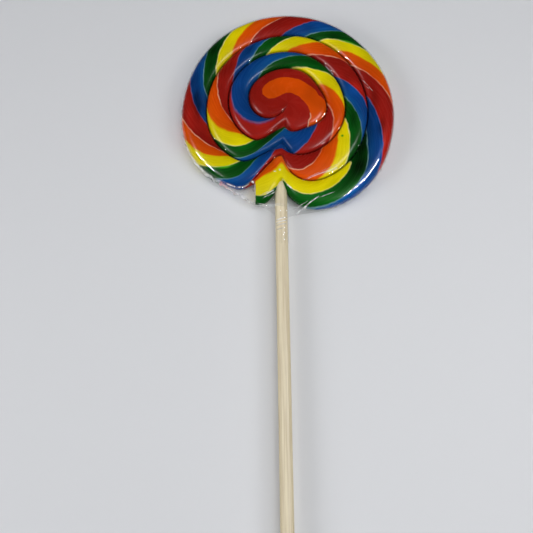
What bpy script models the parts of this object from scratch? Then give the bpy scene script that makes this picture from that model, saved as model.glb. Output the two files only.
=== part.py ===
"""A swirl lollipop lying face up: candy rope coiled flat, a wooden stick and a clear film bag.

The middle of the bag's flat back is the origin, +Z is up, and the stick points along -Y.
Lengths are in metres, and the tables of the coil are in millimetres and degrees.
"""

import bpy
import numpy as np

MM = 0.001
TURN = 360.0

# Heights of the candy disc above the surface it lies on.
CANDY_BACK = 0.75 * MM
CANDY_CROWN = 9.2 * MM
RIM_HEIGHT = 4.95 * MM
CREASE_HEIGHT = 6.3 * MM
BACK_CREASE_HEIGHT = 2.4 * MM
BACK_FLATTENING = 0.8 * MM
DOME_POWER = 2.6

# The rope's outer edge, as its distance from the middle of the coil while it winds inwards
# anticlockwise: one row for each turn, one radius every 45 degrees, the first at -150 degrees.
STATION_ANGLE = 45.0
FIRST_STATION = -150.0
TURN_RADII = (
    (53.2, 51.8, 54.8, 50.8, 49.4, 50.1, 49.9, 49.3),
    (51.4, 46.3, 41.4, 38.1, 37.0, 38.2, 37.6, 37.9),
    (38.9, 33.4, 28.1, 27.2, 26.8, 28.7, 29.0, 28.6),
    (26.3, 20.7, 15.1, 18.4, 17.5, 19.8, 19.9, 19.3),
    (13.3, 0.0),
)

# How far the stick pushed each pass of the edge inwards, from the rim to the middle: angle
# along the coil, depth (mm), reach towards the cut end (mm) and its power, other reach (mm).
# The last number is the share of the rope's width that a hollow at the dent takes up.
STICK_DENTS = (
    (-95.0, 10.5, 5.3, 2.0, 7.5, 0.0),
    (262.6, 18.0, 12.8, 4.0, 10.0, 0.0),
    (621.3, 9.8, 13.9, 4.0, 11.0, 0.3),
    (981.0, 8.6, 9.9, 4.0, 5.3, 0.12),
)
DENT_FADE_POWER = 1.2
HOLLOW_REACH = 5.5 * MM

# The rope's cut end, which slants back from its outer edge by CUT_SLANT.
CUT_ANGLE = -113.2
CUT_SLANT = 5.5
SLANT_FADE = 30.4

# Angles of the cross-sections: close together by the stick, wide apart elsewhere.
FINE_STEP = 4.5
FINE_SECTIONS = 10
COARSE_STEP = 9.0
COARSE_SECTIONS = 35
SECTIONS_PER_TURN = FINE_SECTIONS + COARSE_SECTIONS
COIL_END = FIRST_STATION + STATION_ANGLE * (sum(len(row) for row in TURN_RADII) - 1)
SECTIONS = 4 * SECTIONS_PER_TURN + 2
CREASE_FADE = 35.0
SHARP_ANGLE = 50.0

# Places across the rope, from its outer edge (0) to its inner edge (1).
FACE_STEPS = (0.0, 0.05, 0.2, 0.5, 0.8, 0.95, 1.0)
BACK_STEPS = (0.0, 0.14, 0.86, 1.0)

# Stick: 7/32 inch birch dowel, 9 inches long with the part inside the candy.
STICK_X = -4.0 * MM
STICK_RADIUS = 2.74 * MM
STICK_TOP = -24.0 * MM
STICK_END = -252.0 * MM
STICK_ROUNDING = 0.5 * MM
BORE_CLEARANCE = 0.3 * MM

# The candy arches over the buried stick.
BULGE_RADIUS = 4.5 * MM
BULGE_LIFT = 0.1 * MM
BULGE_END = -25.0 * MM
BULGE_RUN_OUT = 1.5 * MM
BULGE_RIM_SHARE = 0.2

# Film bag, shrunk onto the candy and gathered round the stick.
FILM_GAP = 0.4 * MM
FILM_WALL = 0.35 * MM
FILM_CREASE_LIFT = 0.9 * MM
FILM_DOME_POWER = 3.6
WEB_HEIGHT = 6.2 * MM
WEB_START = CUT_ANGLE - 2.0 * COARSE_STEP
FILM_BACK_INSETS = (0.9 * MM, 2.6 * MM)
FILM_EDGE_ROUND = 6.0 * MM
FILM_NOTCH_SHARE = 0.12
NECK_START = -48.0 * MM
NECK_FOLD = -54.0 * MM
NECK_END = -66.0 * MM
NECK_HALF_WIDTH = 6.0 * MM
NECK_HALF_HEIGHT = 4.2 * MM
MOUTH_START = -45.0 * MM
TOOL_OVERRUN = 5.0 * MM
ROD_SIDES = 24


def clear_scene():
    """Remove whatever the scene holds."""
    for item in list(bpy.data.objects):
        bpy.data.objects.remove(item, do_unlink=True)


def material(name, color, roughness, alpha=1.0):
    """A Principled material of one colour."""
    made = bpy.data.materials.new(name)
    made.use_nodes = True
    shader = made.node_tree.nodes["Principled BSDF"]
    shader.inputs["Base Color"].default_value = (*color, 1.0)
    shader.inputs["Roughness"].default_value = roughness
    shader.inputs["Metallic"].default_value = 0.0
    shader.inputs["Alpha"].default_value = alpha
    made.diffuse_color = (*color, alpha)
    return made


def smoothstep(value):
    """0 below 0, 1 above 1, and an even S between."""
    value = np.clip(value, 0.0, 1.0)
    return value * value * (3.0 - 2.0 * value)


def undented_radius(angle):
    """The edge's radius from the table, as one smooth curve through its stations."""
    radii = np.array([radius for row in TURN_RADII for radius in row]) * MM
    slopes = np.gradient(radii)
    place = np.clip((angle - FIRST_STATION) / STATION_ANGLE, 0.0, len(radii) - 1)
    index = min(int(place), len(radii) - 2)
    step = place - index
    start, end = radii[index], radii[index + 1]
    curve = (
        (2 * step**3 - 3 * step**2 + 1) * start
        + (step**3 - 2 * step**2 + step) * slopes[index]
        + (3 * step**2 - 2 * step**3) * end
        + (step**3 - step**2) * slopes[index + 1]
    )
    return 0.0 if angle >= COIL_END else max(curve, 0.0)


def stick_dent(angle, radius):
    """How far the stick pushed this point of the edge towards the middle.

    One pass of the edge ends and the next begins at the top of the coil, away from the stick,
    and the last pass stays clear of it.
    """
    turn = int((angle + 0.75 * TURN) // TURN)
    if turn >= len(STICK_DENTS):
        return 0.0
    middle, depth, cut_reach, cut_power, far_reach, _ = STICK_DENTS[turn]
    along = radius * np.radians(angle - middle) / MM
    if along < 0.0:
        share = np.exp(-abs(along / cut_reach) ** cut_power)
    else:
        share = np.exp(-((along / far_reach) ** DENT_FADE_POWER))
    return depth * MM * share * max(0.0, -np.sin(np.radians(angle)))


def edge_radius(angle):
    """Distance from the middle of the coil to the rope's outer edge."""
    radius = undented_radius(angle)
    return radius - stick_dent(angle, radius)


def beyond_hollow(angle, across):
    """Place across the rope, counted from the inner side of the hollow at the stick's dent."""
    turn = int((angle + 0.75 * TURN) // TURN)
    if turn >= len(STICK_DENTS) or across >= 0.5:
        return across
    middle, share = STICK_DENTS[turn][0], STICK_DENTS[turn][-1]
    along = abs(edge_radius(angle) * np.radians(angle - middle))
    hollow = share * max(0.0, 1.0 - along / HOLLOW_REACH)
    return 0.5 * max(0.0, across - hollow) / (0.5 - hollow)


def film_rim_radius(angle, grow):
    """The bag's rim: the candy's, but straight over the notch and the gap at the cut end."""
    radius = undented_radius(angle)
    radius -= FILM_NOTCH_SHARE * stick_dent(angle, radius)
    inner = edge_radius(angle + TURN)
    share = smoothstep((angle - WEB_START) / (CUT_ANGLE + CUT_SLANT - WEB_START))
    return inner + (radius - inner) * share + grow


def dome(across, power=DOME_POWER):
    """Rounding across the rope: 0 at both edges, 1 along the middle."""
    return np.sqrt(max(0.0, 1.0 - abs(2.0 * across - 1.0) ** power))


def bulge_height(x, y, grow):
    """Height of the candy arched over the buried stick."""
    radius = BULGE_RADIUS + grow
    off = x - STICK_X
    if abs(off) >= radius:
        return 0.0
    arch = RIM_HEIGHT + BULGE_LIFT + np.sqrt(radius**2 - off**2)
    return arch * smoothstep((BULGE_END - y) / BULGE_RUN_OUT)


def crease_fade(angle):
    """1 along the coil, falling to 0 where the last crease dies out in the middle."""
    return smoothstep((COIL_END - angle) / CREASE_FADE)


def candy_height(angle, across, back):
    """Height of the candy's face or back at a place on the rope."""
    edge = angle if across < 0.5 else angle + TURN
    shape = dome(across if back else beyond_hollow(angle, across))
    if edge < CUT_ANGLE + TURN:
        low = RIM_HEIGHT
    elif back:
        low = CANDY_BACK + (BACK_CREASE_HEIGHT - CANDY_BACK) * crease_fade(edge)
    else:
        low = CANDY_CROWN + (CREASE_HEIGHT - CANDY_CROWN) * crease_fade(edge)
    if back:
        return max(CANDY_BACK, low - (low - CANDY_BACK + BACK_FLATTENING) * shape)
    return low + (CANDY_CROWN - low) * shape


def film_height(angle, across, grow):
    """Height of the bag's face: over the crowns, part of the way into the creases."""
    crown = CANDY_CROWN + grow
    web = WEB_HEIGHT + grow
    crown = web + (crown - web) * smoothstep((angle - CUT_ANGLE) / COARSE_STEP + 1.0)
    edge = angle if across < 0.5 else angle + TURN
    crease = CREASE_HEIGHT + FILM_CREASE_LIFT + grow
    if edge <= WEB_START + TURN:
        low = RIM_HEIGHT
    elif edge < CUT_ANGLE + TURN:
        low = web
    else:
        low = crown + (min(crease, crown) - crown) * crease_fade(edge)
    if angle < CUT_ANGLE and across > 0.5:
        low = web
    return low + (crown - low) * dome(across, FILM_DOME_POWER)


def section_angle(index):
    """Angle of a cross-section, counted from the cut end; the same every turn."""
    turn, place = divmod(index, SECTIONS_PER_TURN)
    fine = min(place, FINE_SECTIONS)
    coarse = place - fine
    return CUT_ANGLE + TURN * turn + FINE_STEP * fine + COARSE_STEP * coarse


def slanted_angle(angle, across):
    """Shift the first few sections so that the rope's end is cut on a slant."""
    fade = 1.0 - smoothstep((angle - CUT_ANGLE) / SLANT_FADE)
    return angle + CUT_SLANT * (1.0 - across) * fade


def candy_point(angle, across, back):
    """A point of the candy's surface."""
    turned = slanted_angle(angle, across) if angle >= CUT_ANGLE else angle
    radius = edge_radius(turned) * (1.0 - across) + edge_radius(turned + TURN) * across
    x = radius * np.cos(np.radians(turned))
    y = radius * np.sin(np.radians(turned))
    height = candy_height(angle, across, back)
    if not back and y < 0.0 and edge_radius(turned + TURN) > 0.0:
        cover = smoothstep(across / BULGE_RIM_SHARE) if angle < CUT_ANGLE + TURN else 1.0
        height = max(height, bulge_height(x, y, 0.0) * cover)
    return x, y, height


def film_point(angle, across, grow):
    """A point of the bag's face."""
    turned = slanted_angle(angle, across) if angle >= CUT_ANGLE else angle
    if angle <= WEB_START + TURN:
        outer = film_rim_radius(turned, grow)
    else:
        outer = edge_radius(turned)
    radius = outer * (1.0 - across) + edge_radius(turned + TURN) * across
    x = radius * np.cos(np.radians(turned))
    y = radius * np.sin(np.radians(turned))
    height = film_height(angle, across, grow)
    if y < 0.0 and (across > 0.0 or angle > CUT_ANGLE + TURN):
        height = max(height, bulge_height(x, y, grow))
    return x, y, height


def wind(point, steps, first, pole_height):
    """Surface of the coil from its cross-sections.

    Each section's inner edge is the outer edge of the section one turn further on, and
    where the coil has ended it is the point in the middle. The last section runs straight
    from the edge of the turn outside it to the middle, so its points join that turn's face.
    Returns the points, the faces, and each section's point numbers from its outer edge to
    its inner edge.
    """
    points = [(0.0, 0.0, pole_height)]
    rows = []
    for index in range(first, SECTIONS):
        row = []
        for across in steps[:-1]:
            row.append(len(points))
            points.append(point(section_angle(index), across))
        rows.append(row)
    for place, row in enumerate(rows):
        beyond = place + SECTIONS_PER_TURN
        row.append(rows[beyond][0] if beyond < len(rows) else 0)
    last = rows[-1]
    faces = []
    for near, far in zip(rows, rows[1:]):
        for k in range(len(steps) - 1):
            face = [near[k], far[k], far[k + 1], near[k + 1]]
            if near[k + 1] == last[0]:
                face[3:3] = last[-2:0:-1]
            faces.append([c for n, c in enumerate(face) if c != face[n - 1]])
    return points, faces, rows


def mesh_object(name, points, faces, surface):
    """An object from points and faces, shaded smooth but for its sharp edges."""
    mesh = bpy.data.meshes.new(name)
    mesh.from_pydata(points, [], faces)
    mesh.validate()
    mesh.materials.append(surface)
    mesh.shade_smooth()
    mesh.set_sharp_from_angle(angle=np.radians(SHARP_ANGLE))
    made = bpy.data.objects.new(name, mesh)
    bpy.context.scene.collection.objects.link(made)
    return made


def without_unused(points, faces):
    """The points that some face uses, and the faces renumbered to match."""
    used = sorted({corner for face in faces for corner in face})
    order = {old: new for new, old in enumerate(used)}
    return [points[old] for old in used], [[order[c] for c in face] for face in faces]


def candy_body(name, surface):
    """The coiled rope as one closed body, with its slanting cut end."""
    points, faces, rows = wind(
        lambda angle, across: candy_point(angle, across, False), FACE_STEPS, 0, CANDY_CROWN
    )
    back_points, back_faces, back_rows = wind(
        lambda angle, across: candy_point(angle, across, True), BACK_STEPS, 0, CANDY_BACK
    )
    shift = len(points)
    rim = range(SECTIONS_PER_TURN)
    joined = {shift + back_rows[k][0]: rows[k][0] for k in rim}
    for face in back_faces:
        faces.append([joined.get(shift + c, shift + c) for c in reversed(face)])
    faces.append(rows[0] + [shift + c for c in reversed(back_rows[0][1:])])
    corner = rows[SECTIONS_PER_TURN][0]
    faces.append([rows[rim[-1]][0], shift + back_rows[SECTIONS_PER_TURN][0], corner])
    points, faces = without_unused(points + back_points, faces)
    return mesh_object(name, points, faces, surface)


def film_body(name, grow, floor, surface):
    """The bag as one closed body: its winding face, and a flat back with a round edge.

    The web over the gap at the cut end begins as a point on the rim.
    """
    points, faces, rows = wind(
        lambda angle, across: film_point(angle, across, grow),
        FACE_STEPS,
        -round((CUT_ANGLE - WEB_START) / COARSE_STEP),
        CANDY_CROWN + grow,
    )
    corner = rows[SECTIONS_PER_TURN][0]
    faces = [[corner if c in rows[0] else c for c in face] for face in faces]
    faces = [[c for n, c in enumerate(face) if c != face[n - 1]] for face in faces]
    faces = [face for face in faces if len(face) > 2]
    rim = [corner] + [rows[k][0] for k in range(1, SECTIONS_PER_TURN)]
    outer = rim
    for inset in FILM_BACK_INSETS:
        deep = dome(0.5 * inset / FILM_EDGE_ROUND)
        height = max(floor, RIM_HEIGHT - (RIM_HEIGHT - floor + BACK_FLATTENING) * deep)
        inner = range(len(points), len(points) + len(rim))
        for x, y in [points[c][:2] for c in rim]:
            share = 1.0 - inset / np.hypot(x, y)
            points.append((x * share, y * share, height))
        for k in range(len(rim)):
            faces.append([outer[k - 1], inner[k - 1], inner[k], outer[k]])
        outer = inner
    faces.append(list(reversed(outer)))
    points, faces = without_unused(points, faces)
    return mesh_object(name, points, faces, surface)


def rod(name, rings, surface):
    """A closed body of elliptical rings along the stick's line.

    Each ring is its place along Y, its half width and its half height.
    """
    turns = np.arange(ROD_SIDES) * (2.0 * np.pi / ROD_SIDES)
    points = []
    for y, half_width, half_height in rings:
        for turn in turns:
            x = STICK_X + half_width * np.cos(turn)
            points.append((x, y, RIM_HEIGHT + half_height * np.sin(turn)))
    faces = []
    for ring in range(len(rings) - 1):
        for k in range(ROD_SIDES):
            after = (k + 1) % ROD_SIDES
            near, far = ring * ROD_SIDES, (ring + 1) * ROD_SIDES
            faces.append([near + k, near + after, far + after, far + k])
    faces.append([(len(rings) - 1) * ROD_SIDES + k for k in range(ROD_SIDES)])
    faces.append(list(reversed(range(ROD_SIDES))))
    return mesh_object(name, points, faces, surface)


def combine(target, tool, operation):
    """Join a tool to a target or cut it away, then drop the tool."""
    modifier = target.modifiers.new(operation.title(), "BOOLEAN")
    modifier.operation = operation
    modifier.solver = "EXACT"
    modifier.object = tool
    graph = bpy.context.evaluated_depsgraph_get()
    mesh = bpy.data.meshes.new_from_object(target.evaluated_get(graph))
    target.modifiers.clear()
    target.data = mesh
    bpy.data.objects.remove(tool, do_unlink=True)


def make_stick(surface):
    """The dowel, with its rims slightly rounded."""
    small = STICK_RADIUS - STICK_ROUNDING
    rings = (
        (STICK_TOP, small, small),
        (STICK_TOP - STICK_ROUNDING, STICK_RADIUS, STICK_RADIUS),
        (STICK_END + STICK_ROUNDING, STICK_RADIUS, STICK_RADIUS),
        (STICK_END, small, small),
    )
    return rod("stick", rings, surface)


def make_candy(surface):
    """The pressed coil, bored for the stick."""
    candy = candy_body("candy", surface)
    bore = STICK_RADIUS + BORE_CLEARANCE
    mouth = NECK_FOLD - TOOL_OVERRUN
    rings = ((STICK_TOP + BORE_CLEARANCE, bore, bore), (mouth, bore, bore))
    combine(candy, rod("bore", rings, surface), "DIFFERENCE")
    return candy


def make_wrapper(surface):
    """The bag: a thin wall round the candy, gathered to a sleeve on the stick."""
    wrapper = film_body("wrapper", FILM_GAP + FILM_WALL, 0.0, surface)
    sleeve = STICK_RADIUS + BORE_CLEARANCE + FILM_WALL
    neck_rings = (
        (NECK_START, NECK_HALF_WIDTH, NECK_HALF_HEIGHT),
        (NECK_FOLD, sleeve, sleeve),
        (NECK_END, sleeve, sleeve),
    )
    combine(wrapper, rod("neck", neck_rings, surface), "UNION")
    combine(wrapper, film_body("hollow", FILM_GAP, FILM_WALL, surface), "DIFFERENCE")
    inside = STICK_RADIUS + BORE_CLEARANCE
    mouth_rings = ((MOUTH_START, inside, inside), (NECK_END - TOOL_OVERRUN, inside, inside))
    combine(wrapper, rod("mouth", mouth_rings, surface), "DIFFERENCE")
    return wrapper


clear_scene()
make_candy(material("candy_red", (0.52, 0.02, 0.02), 0.2))
make_stick(material("birch", (0.62, 0.50, 0.29), 0.6))
make_wrapper(material("clear_film", (0.85, 0.88, 0.9), 0.08, 0.25))
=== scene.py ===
"""Looks of a swirl lollipop: twisted candy rope coiled flat, a birch stick and a clear film bag.

Lengths inside the formulas are in millimetres and angles in degrees; MM turns them to metres.
"""

import bpy
import numpy as np
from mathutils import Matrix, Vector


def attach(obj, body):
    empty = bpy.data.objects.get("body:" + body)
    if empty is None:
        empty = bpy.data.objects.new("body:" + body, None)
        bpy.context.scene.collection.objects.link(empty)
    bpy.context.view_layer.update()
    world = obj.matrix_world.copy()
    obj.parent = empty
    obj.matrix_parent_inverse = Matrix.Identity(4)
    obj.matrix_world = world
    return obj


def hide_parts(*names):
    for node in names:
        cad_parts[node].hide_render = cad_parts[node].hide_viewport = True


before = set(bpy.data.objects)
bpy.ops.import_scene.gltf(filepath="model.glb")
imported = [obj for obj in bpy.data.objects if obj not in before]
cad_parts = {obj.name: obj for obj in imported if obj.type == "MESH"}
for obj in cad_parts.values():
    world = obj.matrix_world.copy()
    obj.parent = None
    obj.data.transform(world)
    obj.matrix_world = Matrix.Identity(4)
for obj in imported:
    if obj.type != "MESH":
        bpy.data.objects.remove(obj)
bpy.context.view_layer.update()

# --------------------------------------------------------------------------- the candy
# Boiled sugar in five colours, drawn into strips, twisted into one rope, wound inwards
# from its cut end and pressed flat round the stick while warm, so that the turns fused.

MM = 0.001
TURN = 360.0
TOP_ANGLE = 90.0
COLORS = 5.0

# Distance of the rope's outer edge from the middle of the coil, as it winds inwards
# anticlockwise: a row for each turn, a radius every 45 degrees from -150 degrees.
STATION_ANGLE = 45.0
FIRST_STATION = -150.0
TURN_RADII = (
    (53.2, 51.8, 54.8, 50.8, 49.4, 50.1, 49.9, 49.3),
    (51.4, 46.3, 41.4, 38.1, 37.0, 38.2, 37.6, 37.9),
    (38.9, 33.4, 28.1, 27.2, 26.8, 28.7, 29.0, 28.6),
    (26.3, 20.7, 15.1, 18.4, 17.5, 19.8, 19.9, 19.3),
    (13.3, 0.0),
)
EDGE_RADII = np.concatenate([np.array(row) for row in TURN_RADII])
EDGE_SLOPES = np.gradient(EDGE_RADII)
COIL_END = FIRST_STATION + STATION_ANGLE * (len(EDGE_RADII) - 1)
CREASE_FADE = 35.0

# The dent that the stick pressed into each turn: angle along the coil, depth, reach towards
# the cut end, its power, reach the other way, and the share of the rope's width that a hollow
# beside the dent takes up.
STICK_DENTS = np.array(
    (
        (-95.0, 12.2, 5.3, 2.0, 7.5, 0.0),
        (262.6, 18.0, 12.8, 4.0, 10.0, 0.0),
        (621.3, 9.8, 13.9, 4.0, 11.0, 0.3),
        (981.0, 8.6, 9.9, 4.0, 5.3, 0.12),
    )
)
DENT_FADE_POWER = 1.2
HOLLOW_REACH = 5.5

# Heights above the table: back, crowns, rim, and the creases of the face and of the back.
CANDY_BACK = 0.75
CANDY_CROWN = 9.2
RIM_HEIGHT = 4.95
CREASE_HEIGHT = 6.3
BACK_CREASE_HEIGHT = 2.4
BACK_FLATTENING = 0.8
DOME_POWER = 2.6

# The arch that the candy makes over the buried part of the stick.
STICK_X = -4.0
BULGE_RADIUS = 4.5
BULGE_LIFT = 0.1
BULGE_END = -25.0
BULGE_RUN_OUT = 1.5
BULGE_RIM_SHARE = 0.2

# The rope's cut end: where it is, how much it slants, and over what angle that dies away.
CUT_ANGLE = -113.2
CUT_SLANT = 5.5
SLANT_FADE = 30.4

# Rows across the rope: close together by the stick, wider apart elsewhere, alike every turn.
FINE_STEP = 0.75
FINE_ROWS = 60
COARSE_STEP = 1.75
COARSE_ROWS = 180
ROWS_PER_TURN = FINE_ROWS + COARSE_ROWS
MOST_TURNS = 5
ACROSS_STEPS = 24

# Where each stripe of colour starts along the coil: at the rope's outer edge, one third and
# two thirds of the way across, and at its inner edge. The colours follow one another as
# orange, yellow, green, blue and red.
STRIPE_STARTS = np.array(
    (
        (-200, -180, -160, -150), (-150, -126, -100, -88), (-93, -86, -59, -48),
        (-81, -47, -35, -19), (-42, -24, -10, 7), (-3, 10, 22, 35),
        (18, 27, 40, 50), (35, 43, 55, 66), (52, 59, 67, 77),
        (67, 75, 83, 94), (87, 96, 108, 119), (105, 115, 126, 136),
        (118, 130, 143, 154), (140, 150, 163, 174), (161, 173, 185, 195),
        (186, 198, 209, 221), (198, 213, 220, 225), (216, 225, 230, 232),
        (228, 238, 241, 243), (243, 252, 254, 258), (266, 279, 293, 305),
        (287, 304, 315, 329), (309, 322, 333, 345), (328, 344, 355, 370),
        (355, 369, 380, 394), (394, 405, 415, 431), (422, 430, 439, 451),
        (439, 449, 459, 470), (459, 469, 478, 489), (480, 490, 500, 514),
        (511, 523, 541, 560), (541, 560, 570, 579), (563, 581, 587, 589),
        (586, 602, 614, 630), (634, 650, 669, 685), (674, 690, 704, 722),
        (713, 730, 745, 757), (745, 762, 775, 803), (787, 800, 825, 858),
        (868, 912, 938, 943), (1500, 1500, 1500, 1500),
    ),
    dtype=float,
)

# At the cut end the green strip turns in under the yellow one, as far as the stick.
CORNER_ACROSS = 0.155
CORNER_ANGLE = -102.0
CORNER_FADE = 0.01

# The middle is red with a patch of orange folded into it: direction from the middle of the
# coil, and the patch's inner and outer radius there. A pale seam runs round its lobe.
HEART_PATCH = np.array(
    (
        (-72, 15.9, 15.9), (-62, 15.7, 18.0), (-54, 15.0, 20.0), (-44, 13.2, 22.0),
        (-37, 13.0, 22.0), (-20, 10.0, 22.0), (0, 8.0, 20.0), (8, 7.2, 17.0),
        (15, 6.5, 15.2), (45, 5.3, 13.6), (75, 5.1, 13.4), (105, 5.0, 13.7),
        (135, 5.2, 14.3), (150, 5.6, 14.0), (160, 6.6, 12.5), (168, 9.2, 9.2),
    )
)
HEART_START = 1000.0
HEART_TURN = 1080.0
LOBE_END = -28.0
LOBE_SEAM = 0.8
NO_CREASE = 20.0
FAR_OUTSIDE = -5.0

# Where the colour of a strip is darker or paler than the rest of it, painted partly as shade and
# light (near-black where the strip lies in shade, bright beside the highlight at the lower right)
# and partly as the sugar's uneven tone: angle along the coil, place across the rope, reach along
# it in degrees, reach across, and the share taken off or added.
TONE_AND_SHADE_PATCHES = (
    (-74, 0.30, 12, 0.30, 0.55), (-46, 0.60, 9, 0.36, -0.85), (-34, 0.88, 12, 0.24, -0.80),
    (-56, 0.20, 18, 0.15, 0.95), (-17, 0.50, 6, 0.16, -0.55), (-20, 0.92, 16, 0.16, -0.45),
    (-24, 0.20, 12, 0.16, 0.35), (2, 0.74, 10, 0.16, -0.40), (56, 0.62, 7, 0.24, -0.45),
    (66, 0.35, 8, 0.20, 0.30), (140, 0.36, 9, 0.30, -0.62), (150, 0.66, 8, 0.16, -0.40),
    (164, 0.30, 8, 0.20, -0.30), (176, 0.56, 7, 0.16, -0.70), (183, 0.70, 7, 0.14, -0.75),
    (174, 0.92, 10, 0.14, -0.40), (190, 0.34, 9, 0.18, 0.30), (238, 0.30, 10, 0.25, 0.30),
    (333, 0.35, 8, 0.20, 0.25), (344, 0.62, 9, 0.16, -0.40), (372, 0.50, 6, 0.30, 0.40),
    (384, 0.45, 8, 0.30, -0.15), (452, 0.42, 6, 0.25, -0.20), (470, 0.60, 6, 0.25, 0.35),
    (482, 0.42, 6, 0.20, -0.35), (506, 0.50, 8, 0.24, -0.25), (586, 0.45, 7, 0.25, 0.25),
    (604, 0.72, 8, 0.25, -0.60),
)

# Where yellow has bled lime into the green strip beside it: angle, place across, both reaches;
# and where a green speck sits on the yellow.
LIME_PATCHES = ((47, 0.45, 8, 0.18), (227, 0.48, 8, 0.20))
LIME_CYCLE = 0.412
SPECK_PLACE = (24.6, -17.4, 9.0)


def smoothstep(value):
    """0 below 0, 1 above 1, and the cubic 3v^2 - 2v^3 between."""
    value = np.clip(value, 0.0, 1.0)
    return value * value * (3.0 - 2.0 * value)


def smooth_edge(angle):
    """Radius of the rope's edge before the stick dents it.

    A cubic through the stations: each stretch keeps its two radii and their slopes.
    """
    place = np.clip((angle - FIRST_STATION) / STATION_ANGLE, 0.0, len(EDGE_RADII) - 1)
    index = np.minimum(place.astype(int), len(EDGE_RADII) - 2)
    step = place - index
    curve = (
        (2 * step**3 - 3 * step**2 + 1) * EDGE_RADII[index]
        + (step**3 - 2 * step**2 + step) * EDGE_SLOPES[index]
        + (3 * step**2 - 2 * step**3) * EDGE_RADII[index + 1]
        + (step**3 - step**2) * EDGE_SLOPES[index + 1]
    )
    return np.where(angle >= COIL_END, 0.0, np.maximum(curve, 0.0))


def dent_values(angle):
    """The row of STICK_DENTS for each angle; the last turn has none, so its depth is 0.

    A turn is counted from the top of the coil to the next time that the rope passes there.
    """
    turn = ((angle + TURN - TOP_ANGLE) // TURN).astype(int)
    values = STICK_DENTS[np.clip(turn, 0, len(STICK_DENTS) - 1)].copy()
    values[turn >= len(STICK_DENTS), 1] = 0.0
    values[turn >= len(STICK_DENTS), 5] = 0.0
    return np.moveaxis(values, -1, 0)


def stick_dent(angle):
    """Depth of the stick's dent: depth * exp(-(distance / reach)^power), below the middle only."""
    middle, depth, cut_reach, cut_power, far_reach, _ = dent_values(angle)
    along = smooth_edge(angle) * np.radians(angle - middle)
    before = np.exp(-((np.abs(along) / cut_reach) ** cut_power))
    after = np.exp(-((np.abs(along) / far_reach) ** DENT_FADE_POWER))
    share = np.where(along < 0.0, before, after)
    return depth * share * np.maximum(0.0, -np.sin(np.radians(angle)))


def rope_edge(angle):
    """Radius of the rope's outer edge: the smooth curve less the stick's dent."""
    return smooth_edge(angle) - stick_dent(angle)


def rope_width(angle):
    """Width of the rope: this turn's edge less the next one's."""
    return rope_edge(angle) - rope_edge(angle + TURN)


def beyond_hollow(angle, across):
    """Place across the rope, counted from the inner side of the hollow at the stick's dent.

    The hollow is widest at the dent and narrows evenly to nothing within its reach.
    """
    middle, _, _, _, _, share = dent_values(angle)
    along = np.abs(rope_edge(angle) * np.radians(angle - middle))
    hollow = share * np.maximum(0.0, 1.0 - along / HOLLOW_REACH)
    moved = 0.5 * np.maximum(0.0, across - hollow) / (0.5 - hollow)
    return np.where(across < 0.5, moved, across)


def dome(across, power=DOME_POWER):
    """Rounding across the rope: 0 at both edges, 1 in the middle, sqrt(1 - |2a - 1|^power)."""
    return np.sqrt(np.maximum(0.0, 1.0 - np.abs(2.0 * across - 1.0) ** power))


def crease_share(angle):
    """1 along the coil, fading to 0 where the last crease dies out in the middle."""
    return smoothstep((COIL_END - angle) / CREASE_FADE)


def bulge_height(x, y, grow):
    """Height of the arch over the buried stick: a half circle on top of the rim's height."""
    radius = BULGE_RADIUS + grow
    rise = np.sqrt(np.maximum(0.0, radius**2 - (x - STICK_X) ** 2))
    arch = np.where(rise > 0.0, RIM_HEIGHT + BULGE_LIFT + rise, 0.0)
    return arch * smoothstep((BULGE_END - y) / BULGE_RUN_OUT)


def slanted(angle, across):
    """Angles of the rows, the first ones turned so that the rope's end is cut on a slant."""
    fade = 1.0 - smoothstep((angle - CUT_ANGLE) / SLANT_FADE)
    return angle + np.where(angle >= CUT_ANGLE, CUT_SLANT * (1.0 - across) * fade, 0.0)


def row_angles(first):
    """Angles of the rows from the one numbered first to the end of the coil."""
    rows = np.arange(first, MOST_TURNS * ROWS_PER_TURN)
    turn, place = np.divmod(rows, ROWS_PER_TURN)
    fine = np.minimum(place, FINE_ROWS)
    angles = CUT_ANGLE + TURN * turn + FINE_STEP * fine + COARSE_STEP * (place - fine)
    return angles[angles < COIL_END]


def candy_face(angle, across):
    """Points of the pressed face over rows of angle and places across the rope.

    Radius runs evenly from this turn's edge to the next one's. Height is the crease's plus
    the dome's share of what is left to the crown, and no lower than the arch over the stick.
    """
    turned = slanted(angle, across)
    radius = rope_edge(turned) * (1.0 - across) + rope_edge(turned + TURN) * across
    x = radius * np.cos(np.radians(turned))
    y = radius * np.sin(np.radians(turned))
    edge = np.where(across < 0.5, angle, angle + TURN)
    crease = CANDY_CROWN + (CREASE_HEIGHT - CANDY_CROWN) * crease_share(edge)
    low = np.where(edge < CUT_ANGLE + TURN, RIM_HEIGHT, crease)
    height = low + (CANDY_CROWN - low) * dome(beyond_hollow(angle, across))
    first_turn = angle < CUT_ANGLE + TURN
    cover = np.where(first_turn, smoothstep(across / BULGE_RIM_SHARE), 1.0)
    arched = (y < 0.0) & (rope_edge(turned + TURN) > 0.0)
    height = np.where(arched, np.maximum(height, bulge_height(x, y, 0.0) * cover), height)
    return np.stack((x, y, height), axis=-1)


def candy_back(angle, across):
    """Points of the back: as the face, but nearly flat, with shallow creases."""
    face = candy_face(angle, across)
    edge = np.where(across < 0.5, angle, angle + TURN)
    crease = CANDY_BACK + (BACK_CREASE_HEIGHT - CANDY_BACK) * crease_share(edge)
    low = np.where(edge < CUT_ANGLE + TURN, RIM_HEIGHT, crease)
    height = low - (low - CANDY_BACK + BACK_FLATTENING) * dome(across)
    face[..., 2] = np.maximum(CANDY_BACK, height)
    return face


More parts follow.
